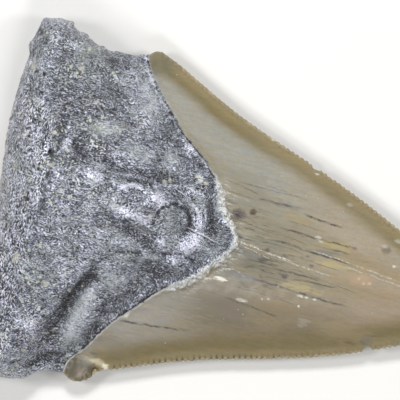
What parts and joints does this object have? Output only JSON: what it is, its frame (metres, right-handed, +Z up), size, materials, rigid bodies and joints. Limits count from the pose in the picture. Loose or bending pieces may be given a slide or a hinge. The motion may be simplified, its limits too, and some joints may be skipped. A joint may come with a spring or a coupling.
{
  "type": "fossil shark tooth",
  "caption": "Fossil megalodon tooth: a broad triangular enamelled crown with finely serrated cutting edges on a thick two-lobed root, lying flat with its bulging inner face up.",
  "frame": {"origin": "under the middle of the tooth's bounding box, on the plane that the tooth lies on", "axes": "+X runs from the base of the root to the tip of the crown, +Y runs across the tooth towards its higher shoulder, and +Z points up, out of the bulging inner face"},
  "size_m": [0.0716, 0.0494, 0.0167],
  "materials": {
    "tooth": "glossy enamel on the crown and rough, grainy bone on the root"
  },
  "bodies": {
    "root": {"tooth": "tooth"}
  },
  "joints": []
}
